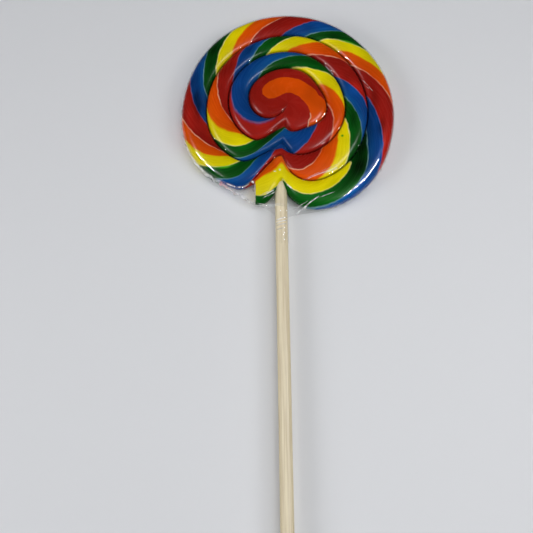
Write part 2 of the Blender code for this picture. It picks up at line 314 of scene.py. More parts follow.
def coil_surface(shape, first, pole_height):
    """Winds a surface into the coil.

    shape gives points for angle and place across. A row's inner end is the first point of
    the row one turn on, or the middle point once the coil has ended. Returns the points,
    each row's point numbers, the rows' angles and the places across the rope.
    """
    angles = row_angles(first)
    across = 0.5 - 0.5 * np.cos(np.pi * np.arange(ACROSS_STEPS + 1) / ACROSS_STEPS)
    grid = shape(angles[:, None] + 0.0 * across, across + 0.0 * angles[:, None])
    points = np.concatenate([[[0.0, 0.0, pole_height]], grid[:, :-1].reshape(-1, 3)])
    rows = len(angles)
    numbers = np.zeros((rows, ACROSS_STEPS + 1), dtype=int)
    numbers[:, :-1] = 1 + np.arange(rows * ACROSS_STEPS).reshape(rows, ACROSS_STEPS)
    numbers[: rows - ROWS_PER_TURN, -1] = numbers[ROWS_PER_TURN:, 0]
    return points, numbers, angles, across


def grid_triangles(numbers):
    """Two triangles for each cell of a grid of point numbers, with each corner's grid place."""
    rows, columns = numbers.shape
    place = np.arange(rows * columns).reshape(rows, columns)
    corners = np.stack((place[:-1, :-1], place[1:, :-1], place[1:, 1:], place[:-1, 1:]), -1)
    corners = corners.reshape(-1, 4)
    places = np.concatenate((corners[:, [0, 1, 2]], corners[:, [0, 2, 3]]))
    triangles = numbers.ravel()[places]
    a, b, c = triangles.T
    real = (a != b) & (b != c) & (c != a)
    return triangles[real], places[real]


def coil_triangles(numbers):
    """Triangles of a wound surface.

    The last row runs straight from the edge of the turn outside it to the middle, so the
    triangle beyond it in that turn gives way to a fan over the row's points.
    """
    triangles, places = grid_triangles(numbers)
    rows, columns = numbers.shape
    cell = (rows - 1 - ROWS_PER_TURN) * columns + columns - 2
    beyond = (cell, cell + 1, cell + columns + 1)
    whole = (np.sort(places, axis=1) != beyond).any(axis=1)
    last = (rows - 1) * columns + np.arange(columns)
    fan = np.stack((np.full(columns - 1, cell), last[1:], last[:-1]), axis=1)
    places = np.concatenate((places[whole], fan))
    return np.concatenate((triangles[whole], numbers.ravel()[fan])), places


def into_scene(name, data):
    """A new object with the given mesh, light or camera, put into the scene."""
    made = bpy.data.objects.new(name, data)
    bpy.context.scene.collection.objects.link(made)
    return made


def triangle_piece(name, points, triangles, surface, point_values=()):
    """A smooth-shaded object from points in millimetres, triangles and named point values."""
    used, triangles = np.unique(triangles, return_inverse=True)
    triangles = triangles.reshape(-1, 3)
    mesh = bpy.data.meshes.new(name)
    mesh.vertices.add(len(used))
    mesh.vertices.foreach_set("co", (points[used] * MM).ravel())
    mesh.loops.add(triangles.size)
    mesh.loops.foreach_set("vertex_index", triangles.ravel())
    mesh.polygons.add(len(triangles))
    mesh.polygons.foreach_set("loop_start", np.arange(len(triangles)) * 3)
    mesh.update(calc_edges=True)
    mesh.shade_smooth()
    mesh.materials.append(surface)
    for label, values in point_values:
        mesh.attributes.new(label, "FLOAT", "POINT").data.foreach_set("value", values[used])
    return into_scene(name, mesh)


def stripe_phase(angle, across):
    """Which stripe a place on the rope is in, counted on from 0, with how far into it.

    A stripe's start is the cubic through its four angles across the rope. In the corner of
    the cut end the count rises towards the outer edge, so that green shows there.
    """
    third = 3.0 * across
    weights = np.stack(
        (
            (1.0 - third) * (2.0 - third) * (3.0 - third) / 6.0,
            third * (2.0 - third) * (3.0 - third) / 2.0,
            third * (third - 1.0) * (3.0 - third) / 2.0,
            third * (third - 1.0) * (third - 2.0) / 6.0,
        )
    )
    starts = STRIPE_STARTS @ weights
    order = np.arange(len(STRIPE_STARTS), dtype=float)
    columns = [np.interp(angle[:, k], starts[:, k], order) for k in range(len(across))]
    phase = np.stack(columns, axis=1)
    past = np.maximum(0.0, angle - CORNER_ANGLE)
    corner = 2.0 + 2.0 * (CORNER_ACROSS - across) - CORNER_FADE * past**2
    return np.where(angle < STICK_DENTS[0, 0], np.maximum(phase, corner), phase)


def heart_patch(angle, radius):
    """How far inside the orange patch a place in the middle is: its distance to the nearer edge."""
    direction = angle - HEART_TURN
    inner = np.interp(direction, HEART_PATCH[:, 0], HEART_PATCH[:, 1])
    outer = np.interp(direction, HEART_PATCH[:, 0], HEART_PATCH[:, 2])
    inside = np.minimum(outer - radius, radius - inner)
    return np.where(angle > HEART_START, inside, FAR_OUTSIDE)


def tone_and_painted_shade(angle, across):
    """Tone of the colour with its painted shade and light: 1 times (1 + amount * exp(-(du^2 +
    dv^2))) for every patch.
    """
    depth = 1.0 + 0.0 * angle
    for middle, place, reach, spread, amount in TONE_AND_SHADE_PATCHES:
        off = ((angle - middle) / reach) ** 2 + ((across - place) / spread) ** 2
        depth = depth * (1.0 + amount * np.exp(-off))
    return depth


def lime_share(angle, across):
    """1 in the middle of a lime patch, exp(-(du^2 + dv^2)) round it."""
    offs = [
        ((angle - middle) / reach) ** 2 + ((across - place) / spread) ** 2
        for middle, place, reach, spread in LIME_PATCHES
    ]
    return np.exp(-np.minimum.reduce(offs))


def crease_distance(angle, across):
    """Distance in millimetres to the nearer crease beside the rope; large where there is none."""
    width = rope_width(angle)
    outside = np.where(angle > CUT_ANGLE + TURN, across * width, NO_CREASE)
    inside = (1.0 - across) * width
    inner_share = crease_share(angle + TURN)
    outer_share = crease_share(angle)
    outside = outside + NO_CREASE * (1.0 - outer_share)
    inside = inside + NO_CREASE * (1.0 - inner_share)
    return np.minimum(outside, inside)


def value_nodes(tree, operation, *values):
    """A Math node of the given operation on sockets or numbers; returns its output."""
    node = tree.nodes.new("ShaderNodeMath")
    node.operation = operation
    for socket, value in zip(node.inputs, values):
        if isinstance(value, (int, float)):
            socket.default_value = value
        else:
            tree.links.new(value, socket)
    return node.outputs[0]


def product(tree, first, *others):
    """The product of all the given sockets or numbers, multiplied one after another."""
    for other in others:
        first = value_nodes(tree, "MULTIPLY", first, other)
    return first


def attribute(tree, name):
    """The value that the mesh holds under a name."""
    node = tree.nodes.new("ShaderNodeAttribute")
    node.attribute_name = name
    return node.outputs["Fac"]


def mapped_range(tree, value, source, target):
    """A smooth Map Range from the pair of numbers in source to the pair in target."""
    node = tree.nodes.new("ShaderNodeMapRange")
    node.interpolation_type = "SMOOTHSTEP"
    tree.links.new(value, node.inputs["Value"])
    for name, number in zip(("From Min", "From Max", "To Min", "To Max"), source + target):
        node.inputs[name].default_value = number
    return node.outputs["Result"]


def noise(tree, vector, scale, detail, roughness=0.5):
    """A Noise Texture on a vector; returns its value."""
    node = tree.nodes.new("ShaderNodeTexNoise")
    node.inputs["Scale"].default_value = scale
    node.inputs["Detail"].default_value = detail
    node.inputs["Roughness"].default_value = roughness
    tree.links.new(vector, node.inputs["Vector"])
    return node.outputs["Fac"]


def relief(tree, height, strength, distance):
    """A Bump node on a height; returns its normal."""
    node = tree.nodes.new("ShaderNodeBump")
    node.inputs["Strength"].default_value = strength
    node.inputs["Distance"].default_value = distance
    tree.links.new(height, node.inputs["Height"])
    return node.outputs["Normal"]


def color_mix(tree, blend, share, first, second):
    """A colour Mix node; share, first and second are sockets, numbers or colours."""
    node = tree.nodes.new("ShaderNodeMix")
    node.data_type = "RGBA"
    node.blend_type = blend
    sockets = (node.inputs[0], node.inputs[6], node.inputs[7])
    for socket, value in zip(sockets, (share, first, second)):
        if isinstance(value, bpy.types.NodeSocket):
            tree.links.new(value, socket)
        elif isinstance(value, tuple):
            socket.default_value = (*value, 1.0)
        else:
            socket.default_value = value
    return node.outputs[2]


# Stops of colour round one cycle of five stripes, each with how strongly its patches of tone and of
# painted shade and light change it.
# Orange runs softly into yellow, and the other stripes meet in a crisp line.
STRIPE_STOPS = (
    (0.000, (0.62, 0.060, 0.0010, 0.15)),
    (0.185, (0.70, 0.090, 0.0010, 0.15)),
    (0.212, (0.74, 0.600, 0.0010, 0.0)),
    (0.398, (0.77, 0.680, 0.0010, 0.0)),
    (0.402, (0.002, 0.095, 0.006, 1.0)),
    (0.500, (0.002, 0.058, 0.004, 1.0)),
    (0.598, (0.003, 0.072, 0.006, 1.0)),
    (0.602, (0.004, 0.078, 0.260, 1.0)),
    (0.700, (0.003, 0.048, 0.210, 1.0)),
    (0.798, (0.004, 0.050, 0.220, 1.0)),
    (0.802, (0.350, 0.012, 0.007, 1.0)),
    (0.998, (0.260, 0.009, 0.005, 1.0)),
)

# The thin seam at the start of each stripe: its colour, and how strongly it shows.
SEAM_STOPS = (
    (0.0, (0.80, 0.36, 0.22, 0.85)),
    (0.2, (0.80, 0.50, 0.05, 0.0)),
    (0.4, (0.85, 0.80, 0.30, 0.75)),
    (0.6, (0.16, 0.33, 0.33, 0.70)),
    (0.8, (0.10, 0.16, 0.36, 0.50)),
)
HEART_ORANGE = (0.66, 0.075, 0.0010)
LIME = (0.05, 0.36, 0.006)
HEART_SEAM = (0.75, 0.40, 0.26)


def color_ramp(tree, value, interpolation, stops):
    """A Color Ramp through the given stops; returns the node."""
    node = tree.nodes.new("ShaderNodeValToRGB")
    node.color_ramp.interpolation = interpolation
    while len(node.color_ramp.elements) < len(stops):
        node.color_ramp.elements.new(1.0)
    for element, (position, color) in zip(node.color_ramp.elements, stops):
        element.position = position
        element.color = color if len(color) == 4 else (*color, 1.0)
    tree.links.new(value, node.inputs["Fac"])
    return node


def new_material(name):
    """A new material with its nodes; returns it, its node tree and its Principled shader."""
    made = bpy.data.materials.new(name)
    made.use_nodes = True
    return made, made.node_tree, made.node_tree.nodes["Principled BSDF"]


def candy_material():
    """Glossy pulled sugar: five stripes, thin pale seams between them and fine drawn streaks, with
    painted shade along the creases and patches of tone and of painted shade and light.
    """
    made, tree, shader = new_material("pulled_sugar")
    rope = tree.nodes.new("ShaderNodeUVMap")
    rope.uv_map = "rope"
    place = tree.nodes.new("ShaderNodeSeparateXYZ")
    tree.links.new(rope.outputs["UV"], place.inputs["Vector"])
    across = place.outputs["Y"]
    body = tree.nodes.new("ShaderNodeTexCoord").outputs["Object"]

    # The stripes' edges wander a little.
    width = attribute(tree, "stripe_width")
    wander = value_nodes(tree, "SUBTRACT", noise(tree, body, scale=260.0, detail=2.0), 0.5)
    drift = value_nodes(tree, "DIVIDE", wander, width)
    phase = value_nodes(tree, "ADD", place.outputs["X"], drift)
    cycle = value_nodes(tree, "FRACT", value_nodes(tree, "DIVIDE", phase, COLORS))
    stripes = color_ramp(tree, cycle, "LINEAR", STRIPE_STOPS)
    color = stripes.outputs["Color"]

    # Streaks drawn out along the stripes, and slow changes of depth in the colour.
    stretch = tree.nodes.new("ShaderNodeCombineXYZ")
    tree.links.new(product(tree, phase, 15.0), stretch.inputs["X"])
    tree.links.new(product(tree, across, 1.6), stretch.inputs["Y"])
    streak = noise(tree, stretch.outputs["Vector"], scale=1.0, detail=3.0, roughness=0.55)
    fine = mapped_range(tree, streak, (0.3, 0.7), (0.94, 1.06))
    slow = noise(tree, body, scale=70.0, detail=1.0)
    slow = mapped_range(tree, slow, (0.35, 0.65), (0.90, 1.08))

    # Darker and paler places, partly uneven tone and partly painted shade and light, and painted
    # shade darkening the creases.
    toned_and_shaded = value_nodes(tree, "SUBTRACT", attribute(tree, "depth"), 1.0)
    toned_and_shaded = value_nodes(tree, "MULTIPLY_ADD", toned_and_shaded, stripes.outputs["Alpha"], 1.0)
    # Painted shade: the colour darkens to about a third within 0.75 mm of a crease, where less
    # light reaches into it.
    painted_crease_shade = mapped_range(tree, attribute(tree, "crease"), (0.0, 0.75), (0.32, 1.0))
    shade = product(tree, fine, slow, toned_and_shaded, painted_crease_shade)
    tint = tree.nodes.new("ShaderNodeCombineXYZ")
    for name in ("X", "Y", "Z"):
        tree.links.new(shade, tint.inputs[name])
    color = color_mix(tree, "MULTIPLY", 1.0, color, tint.outputs["Vector"])

    # Thin pale seams where sugar of two colours meets.
    into = value_nodes(tree, "FRACT", phase)
    near = value_nodes(tree, "MINIMUM", into, value_nodes(tree, "SUBTRACT", 1.0, into))
    distance = product(tree, near, width)
    line = mapped_range(tree, distance, (0.08, 0.42), (1.0, 0.0))
    nearest = value_nodes(tree, "ADD", value_nodes(tree, "ROUND", phase), 0.5)
    start = value_nodes(tree, "FRACT", value_nodes(tree, "DIVIDE", nearest, COLORS))
    seam = color_ramp(tree, start, "CONSTANT", SEAM_STOPS)
    broken = noise(tree, body, scale=110.0, detail=2.0)
    broken = mapped_range(tree, broken, (0.35, 0.62), (0.25, 1.0))
    # The seams fade where the painted crease shade falls.
    strength = product(tree, line, broken, seam.outputs["Alpha"], painted_crease_shade)
    color = color_mix(tree, "MIX", strength, color, seam.outputs["Color"])

    # Lime where yellow has bled into the first part of a green strip, and in one small speck.
    edge = value_nodes(tree, "ABSOLUTE", value_nodes(tree, "SUBTRACT", cycle, LIME_CYCLE))
    bled = mapped_range(tree, edge, (0.004, 0.034), (1.0, 0.0))
    bled = product(tree, bled, attribute(tree, "lime"))
    speck = tree.nodes.new("ShaderNodeVectorMath")
    speck.operation = "DISTANCE"
    speck.inputs[1].default_value = [MM * part for part in SPECK_PLACE]
    tree.links.new(body, speck.inputs[0])
    spotted = mapped_range(tree, speck.outputs["Value"], (0.4 * MM, 0.8 * MM), (0.9, 0.0))
    bled = value_nodes(tree, "MAXIMUM", bled, spotted)
    color = color_mix(tree, "MIX", bled, color, LIME)

    # The orange patch folded into the middle, with a pale seam round its lobe.
    heart_edge = value_nodes(tree, "MULTIPLY_ADD", wander, 1.2, attribute(tree, "heart"))
    patch = mapped_range(tree, heart_edge, (-0.15, 0.15), (0.0, 1.0))
    orange = color_mix(tree, "MULTIPLY", 1.0, HEART_ORANGE, tint.outputs["Vector"])
    color = color_mix(tree, "MIX", patch, color, orange)
    off = value_nodes(tree, "ABSOLUTE", heart_edge)
    lobe_seam = mapped_range(tree, off, (0.1, 0.5), (1.0, 0.0))
    lobe_seam = product(tree, lobe_seam, attribute(tree, "lobe"))
    color = color_mix(tree, "MIX", lobe_seam, color, HEART_SEAM)
    tree.links.new(color, shader.inputs["Base Color"])

    shader.inputs["Specular IOR Level"].default_value = 0.06
    roughness = mapped_range(tree, streak, (0.25, 0.75), (0.20, 0.32))
    tree.links.new(roughness, shader.inputs["Roughness"])
    drawn = relief(tree, streak, strength=0.2, distance=0.1 * MM)
    tree.links.new(drawn, shader.inputs["Normal"])
    return made


LEAST_WIDTH = 0.001
LEAST_RADIUS = 0.5
STRIPE_WIDTHS = (0.5, 30.0)
SHARP_ANGLE = 60.0

# Face and back share the rim of the first turn; the cut end and one corner close the rest.
face_points, face_numbers, angles, across = coil_surface(candy_face, 0, CANDY_CROWN)
back_points, back_numbers, _, _ = coil_surface(candy_back, 0, CANDY_BACK)
back_numbers = back_numbers + len(face_points)
back_numbers[:ROWS_PER_TURN, 0] = face_numbers[:ROWS_PER_TURN, 0]

face_triangles, face_places = coil_triangles(face_numbers)
back_triangles, back_places = coil_triangles(back_numbers)
end_numbers = np.stack((face_numbers[0], back_numbers[0]))
end_triangles, end_places = grid_triangles(end_numbers)
end_places = end_places % (ACROSS_STEPS + 1)
corner_rows = (ROWS_PER_TURN - 1, ROWS_PER_TURN, ROWS_PER_TURN)
corner_grids = (face_numbers, back_numbers, face_numbers)
corner = np.array([[grid[row, 0] for grid, row in zip(corner_grids, corner_rows)]])
corner_places = np.full((1, 3), ROWS_PER_TURN * (ACROSS_STEPS + 1))
candy_triangles = np.concatenate((face_triangles, back_triangles[:, ::-1], end_triangles, corner))
candy_places = np.concatenate((face_places, back_places[:, ::-1], end_places, corner_places))

# The stripes' width where each is seen: 1 over the slope of their count, in millimetres.
turned = slanted(angles[:, None], across[None, :])
phase = stripe_phase(turned, across)
width = rope_width(turned) + LEAST_WIDTH
radius = rope_edge(turned) * (1.0 - across) + rope_edge(turned + TURN) * across
row_steps = np.gradient(turned, axis=0) * np.radians(radius + LEAST_RADIUS)
along_slope = np.gradient(phase, axis=0) / row_steps
across_slope = np.gradient(phase, across, axis=1) / width
stripe_width = np.clip(1.0 / np.hypot(along_slope, across_slope), *STRIPE_WIDTHS)
heart = heart_patch(turned, radius)
in_lobe = (turned > HEART_START) & (turned < HEART_TURN + LOBE_END)
lobe = np.where(in_lobe, LOBE_SEAM, 0.0)

candy = triangle_piece(
    "candy_rope",
    np.concatenate((face_points, back_points)),
    candy_triangles,
    candy_material(),
)
layer = candy.data.uv_layers.new(name="rope")
across_grid = np.broadcast_to(across, phase.shape)
rope_place = np.stack((phase.ravel(), across_grid.ravel()), axis=-1)
layer.uv.foreach_set("vector", rope_place[candy_places.ravel()].ravel())
# depth holds the patches of tone and of painted shade and light; crease feeds the painted crease
# shade.
for name, values in (
    ("stripe_width", stripe_width), ("heart", heart), ("lobe", lobe),
    ("depth", tone_and_painted_shade(turned, across)), ("lime", lime_share(turned, across)),
    ("crease", crease_distance(turned, across)),
):
    corner_values = candy.data.attributes.new(name, "FLOAT", "CORNER")
    corner_values.data.foreach_set("value", values.ravel()[candy_places.ravel()])
candy.data.set_sharp_from_angle(angle=np.radians(SHARP_ANGLE))
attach(candy, "root")
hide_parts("candy")

# --------------------------------------------------------------------------- the stick
# A plain round dowel of unvarnished birch, cut from a long turned rod. Its top is pressed
# into the warm candy, which holds it as it sets.

GRAIN_SCALE = (900.0, 22.0, 900.0)
BIRCH_DARK = (0.56, 0.455, 0.28)
BIRCH_PALE = (0.75, 0.66, 0.45)
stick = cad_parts["stick"]


def stick_material():
    """Unvarnished birch: pale, with fine grain drawn along the stick."""
    made, tree, shader = new_material("birch_dowel")
    body = tree.nodes.new("ShaderNodeTexCoord").outputs["Object"]
    along = tree.nodes.new("ShaderNodeMapping")
    along.inputs["Scale"].default_value = GRAIN_SCALE
    tree.links.new(body, along.inputs["Vector"])
    grain = noise(tree, along.outputs["Vector"], scale=1.0, detail=4.0, roughness=0.6)
    paleness = mapped_range(tree, grain, (0.3, 0.7), (0.0, 1.0))
    color = color_mix(tree, "MIX", paleness, BIRCH_DARK, BIRCH_PALE)
    tree.links.new(color, shader.inputs["Base Color"])
    shader.inputs["Roughness"].default_value = 0.6
    fibres = relief(tree, grain, strength=0.5, distance=0.1 * MM)
    tree.links.new(fibres, shader.inputs["Normal"])
    return made


stick.data.materials.clear()
stick.data.materials.append(stick_material())

# --------------------------------------------------------------------------- the film bag
# A bag of thin clear shrink film over the whole head. Heat has drawn it tight over the candy
# and gathered it round the top of the stick, where its sleeve ends open.

FILM_INDEX = 1.42
MIRROR_GAIN = 1.2

# Fine folds of the shrunk film and glints on it, drawn as white lines: partly the film's own
# whitish folds and partly painted highlights where the lamps catch folds and creases. Start and
# end as x, y and z, half width, and how white the line is.
FOLD_AND_GLINT_LINES = (
    ((-1.6, -41.5, 9.2), (0.9, -43.7, 8.6), 0.34, 1.0),
    ((5.3, -39.9, 9.5), (23.4, -32.6, 9.5), 0.18, 0.7),
    ((6.3, -39.1, 9.5), (22.6, -31.5, 9.5), 0.13, 0.4),
    ((14.5, -36.6, 9.5), (23.8, -33.3, 9.5), 0.16, 0.6),
    ((2.2, -54.8, 7.0), (13.5, -46.9, 8.2), 0.28, 0.85),
    ((1.1, -53.1, 7.2), (8.1, -49.5, 7.4), 0.24, 0.75),
    ((5.1, -53.7, 6.8), (9.9, -48.9, 7.6), 0.24, 0.75),
    ((12.0, -48.4, 8.3), (20.2, -45.2, 8.3), 0.20, 0.6),
    ((-10.9, -46.1, 8.6), (-6.8, -43.9, 8.8), 0.36, 0.9),
    ((-10.3, -47.2, 7.8), (-6.8, -44.8, 8.2), 0.20, 0.65),
    ((-12.6, -47.7, 7.0), (-6.2, -45.0, 8.0), 0.20, 0.6),
    ((-13.4, -46.5, 7.4), (-9.4, -44.6, 8.6), 0.16, 0.5),
    ((-17.2, -39.6, 9.0), (-16.4, -41.0, 8.6), 0.70, 1.0),
    ((-4.9, -34.4, 9.6), (-4.1, -34.7, 9.6), 0.45, 0.5),
    ((-7.3, -35.1, 9.6), (-6.2, -35.2, 9.6), 0.30, 0.6),
    ((-6.5, -57.9, 7.4), (-1.4, -56.2, 7.4), 0.30, 0.9),
    ((-6.8, -59.3, 7.4), (-1.4, -57.7, 7.4), 0.26, 0.8),
    ((-6.6, -60.3, 7.4), (-1.6, -59.4, 7.4), 0.22, 0.6),
    ((-6.4, -62.2, 7.4), (-3.2, -61.6, 7.4), 0.20, 0.5),
    ((-3.4, -64.5, 7.6), (-2.9, -64.9, 7.6), 0.35, 0.7),
    ((-3.2, -66.0, 7.6), (-2.8, -66.3, 7.6), 0.35, 0.7),
    ((-15.7, -40.9, 8.6), (-16.1, -44.9, 7.4), 0.22, 0.7),
    ((-16.1, -44.9, 7.0), (-15.3, -49.2, 6.0), 0.18, 0.45),
    ((-15.2, -49.4, 5.6), (-8.0, -50.6, 5.6), 0.20, 0.45),
    ((23.5, 28.9, 9.5), (26.5, 26.0, 9.3), 0.20, 0.6),
    ((28.4, 24.6, 9.4), (31.8, 20.1, 9.3), 0.18, 0.45),
    ((37.0, 9.8, 9.4), (40.3, 4.9, 9.4), 0.13, 0.4),
    ((36.2, 9.4, 9.4), (38.4, 6.4, 9.4), 0.12, 0.35),
    ((35.2, 11.8, 9.4), (37.2, 9.6, 9.4), 0.20, 0.4),
    ((18.0, 19.7, 9.4), (22.1, 14.0, 9.2), 0.20, 0.6),
    ((-29.5, -50.2, 4.8), (-24.0, -42.0, 6.4), 0.16, 0.4),
    ((-32.5, -38.5, 5.2), (-27.5, -43.0, 5.2), 0.24, 0.6),
    ((-26.5, -43.4, 5.4), (-21.0, -45.4, 5.6), 0.18, 0.45),
)
FOLD_TAPER = 0.25
HEIGHT_SHARE = 0.05
# White of the folds, flecks and haze, partly painted glints; pink painted into the web's haze as
# the red candy's reflection, and how strongly.
MILKY_AND_GLINT_WHITE = (0.96, 0.96, 0.97)
PAINTED_WEB_PINK = (0.78, 0.40, 0.46)
PAINTED_PINK_SHARE = 3.0
FLECK_SCALES = (26.0, 1500.0)


def fold_glint_group():
    """Node group: a line between two points, strongest in its middle and dying at its ends.

    The share along the line is dot(place - start, end - start) / |end - start|^2 kept within
    0 and 1; the mask falls smoothly with the distance from that point of the line. Heights
    count for a twentieth, so that a line stays on the film where it dips a little.
    """
    group = bpy.data.node_groups.new("film_fold_glint", "ShaderNodeTree")
    for name, kind in (
        ("Place", "NodeSocketVector"), ("Start", "NodeSocketVector"), ("End", "NodeSocketVector"),
        ("Half Width", "NodeSocketFloat"), ("Whiteness", "NodeSocketFloat"),
    ):
        group.interface.new_socket(name, in_out="INPUT", socket_type=kind)
    group.interface.new_socket("Mask", in_out="OUTPUT", socket_type="NodeSocketFloat")
    inputs = group.nodes.new("NodeGroupInput").outputs
    outputs = group.nodes.new("NodeGroupOutput").inputs

    def vector(operation, *sockets):
        node = group.nodes.new("ShaderNodeVectorMath")
        node.operation = operation
        for target, socket in zip(node.inputs, sockets):
            group.links.new(socket, target)
        return node

    def flat_difference(first, second):
        node = vector("MULTIPLY", vector("SUBTRACT", first, second).outputs["Vector"])
        node.inputs[1].default_value = (1.0, 1.0, HEIGHT_SHARE)
        return node.outputs["Vector"]

    line = flat_difference(inputs["End"], inputs["Start"])
    offset = flat_difference(inputs["Place"], inputs["Start"])
    share = value_nodes(
        group, "DIVIDE", vector("DOT_PRODUCT", offset, line).outputs["Value"],
        vector("DOT_PRODUCT", line, line).outputs["Value"],
    )
    kept = value_nodes(group, "MINIMUM", value_nodes(group, "MAXIMUM", share, 0.0), 1.0)
    along = group.nodes.new("ShaderNodeVectorMath")
    along.operation = "SCALE"
    group.links.new(line, along.inputs[0])
    group.links.new(kept, along.inputs["Scale"])
    distance = vector("DISTANCE", offset, along.outputs["Vector"]).outputs["Value"]
    reach = value_nodes(group, "DIVIDE", distance, inputs["Half Width"])
    mask = mapped_range(group, reach, (0.35, 1.0), (1.0, 0.0))
    ends = value_nodes(group, "MINIMUM", kept, value_nodes(group, "SUBTRACT", 1.0, kept))
    tapered = mapped_range(group, ends, (-0.05, FOLD_TAPER), (0.0, 1.0))
    mask = product(group, mask, tapered, inputs["Whiteness"])
    group.links.new(mask, outputs["Mask"])
    return group


def film_material():
    """Clear film: see-through but for its gloss, milky where it is folded or bunched up, with
    painted glints in its white lines and flecks and a painted pink reflection of the red candy in
    the web.

    The flecks of the rim are longer along it than across, as their two scales say.
    """
    made, tree, unused_shader = new_material("clear_film")
    tree.nodes.remove(unused_shader)
    output = tree.nodes["Material Output"]
    body = tree.nodes.new("ShaderNodeTexCoord").outputs["Object"]

    # Folds and painted glints, each broken up a little along its length.
    group = fold_glint_group()
    # folds gathers the white lines: whitish film folds and painted glints.
    folds = None
    for start, end, half_width, whiteness in FOLD_AND_GLINT_LINES:
        node = tree.nodes.new("ShaderNodeGroup")
        node.node_tree = group
        tree.links.new(body, node.inputs["Place"])
        node.inputs["Start"].default_value = [MM * part for part in start]
        node.inputs["End"].default_value = [MM * part for part in end]
        node.inputs["Half Width"].default_value = MM * half_width
        node.inputs["Whiteness"].default_value = whiteness
        mask = node.outputs["Mask"]
        folds = mask if folds is None else value_nodes(tree, "MAXIMUM", folds, mask)
    broken = noise(tree, body, scale=420.0, detail=2.0)
    broken = mapped_range(tree, broken, (0.36, 0.58), (0.35, 1.0))
    folds = product(tree, folds, broken)

    # Haze in the web, and flecks where the rim is bunched up: partly crumpled white film and partly
    # painted glints of light caught in it.
    across_place = tree.nodes.new("ShaderNodeSeparateXYZ")
    tree.links.new(body, across_place.inputs["Vector"])
    direction = value_nodes(tree, "ARCTAN2", across_place.outputs["Y"], across_place.outputs["X"])
    radius = tree.nodes.new("ShaderNodeVectorMath")
    radius.operation = "LENGTH"
    tree.links.new(body, radius.inputs[0])
    drawn = tree.nodes.new("ShaderNodeCombineXYZ")
    along, outward = FLECK_SCALES
    tree.links.new(product(tree, direction, along), drawn.inputs["X"])
    tree.links.new(product(tree, radius.outputs["Value"], outward), drawn.inputs["Y"])
    flecks = noise(tree, drawn.outputs["Vector"], scale=1.0, detail=2.0, roughness=0.6)
    flecks = mapped_range(tree, flecks, (0.42, 0.56), (0.0, 0.9))
    flecks = product(tree, flecks, attribute(tree, "crinkle"))
    haze = noise(tree, body, scale=350.0, detail=3.0, roughness=0.6)
    haze = mapped_range(tree, haze, (0.35, 0.65), (0.5, 1.3))
    haze = product(tree, haze, attribute(tree, "haze"))
    # milky holds the whitish film together with its painted glints.
    marks = value_nodes(tree, "MAXIMUM", folds, flecks)
    milky = value_nodes(tree, "MAXIMUM", marks, haze)

    clear = tree.nodes.new("ShaderNodeBsdfTransparent")
    clear.inputs["Color"].default_value = (0.99, 0.99, 0.99, 1.0)
    gloss = tree.nodes.new("ShaderNodeBsdfGlossy")
    gloss.inputs["Roughness"].default_value = 0.02
    ripple = noise(tree, body, scale=160.0, detail=2.0)
    rippled = relief(tree, ripple, strength=0.03, distance=0.2 * MM)
    tree.links.new(rippled, gloss.inputs["Normal"])

    # Both faces of the film mirror. Seen from inside, what lies beyond it is air again, so
    # its index is turned over.
    inside = tree.nodes.new("ShaderNodeNewGeometry").outputs["Backfacing"]
    index = value_nodes(tree, "MULTIPLY_ADD", inside, 1.0 / FILM_INDEX - FILM_INDEX, FILM_INDEX)
    fresnel = tree.nodes.new("ShaderNodeFresnel")
    tree.links.new(index, fresnel.inputs["IOR"])
    tree.links.new(rippled, fresnel.inputs["Normal"])

    # The light that falls on the candy gets through the thin film undimmed.
    falling = tree.nodes.new("ShaderNodeLightPath").outputs["Is Shadow Ray"]
    seen = value_nodes(tree, "SUBTRACT", 1.0, falling)
    mirrored = product(tree, fresnel.outputs["Fac"], MIRROR_GAIN, seen)
    mix = tree.nodes.new("ShaderNodeMixShader")
    tree.links.new(mirrored, mix.inputs["Fac"])
    tree.links.new(clear.outputs["BSDF"], mix.inputs[1])
    tree.links.new(gloss.outputs["BSDF"], mix.inputs[2])
    # The white also paints the glints; in the web's haze it turns to a painted pink reflection of
    # the red candy.
    white = tree.nodes.new("ShaderNodeBsdfDiffuse")
    painted_pink = product(tree, haze, PAINTED_PINK_SHARE)
    white_color = color_mix(tree, "MIX", painted_pink, MILKY_AND_GLINT_WHITE, PAINTED_WEB_PINK)
    tree.links.new(white_color, white.inputs["Color"])
    whole = tree.nodes.new("ShaderNodeMixShader")
    tree.links.new(product(tree, milky, seen), whole.inputs["Fac"])
    tree.links.new(mix.outputs["Shader"], whole.inputs[1])
    tree.links.new(white.outputs["BSDF"], whole.inputs[2])
    tree.links.new(whole.outputs["Shader"], output.inputs["Surface"])
    return made


FILM_GAP = 0.25
FILM_CREASE_LIFT = 2.5
FILM_DOME_POWER = 3.6
FILM_NOTCH_SHARE = 0.12
WEB_ROWS = 10
WEB_START = CUT_ANGLE - WEB_ROWS * COARSE_STEP
WEB_HEIGHT = 6.2
WEB_RISE = 9.0

# Folds that the shrunk film pulls between the rim and the stick: start and end in plan,
# height and half width. They die away over FOLD_RUN_OUT.
FOLD_RUN_OUT = 2.0
FILM_FOLDS = (
    ((6.8, -39.7), (20.9, -33.1), 0.30, 0.5),
    ((8.4, -40.6), (21.5, -34.3), 0.22, 0.4),
    ((2.6, -52.5), (12.8, -47.6), 0.35, 0.6),
    ((12.8, -47.6), (19.1, -46.0), 0.25, 0.5),
    ((4.4, -52.2), (9.0, -49.7), 0.30, 0.5),
    ((-11.6, -48.5), (-7.1, -45.0), 0.30, 0.4),
    ((-11.0, -49.6), (-6.9, -46.4), 0.30, 0.4),
    ((-23.6, -41.2), (-15.6, -45.5), 0.35, 0.5),
)

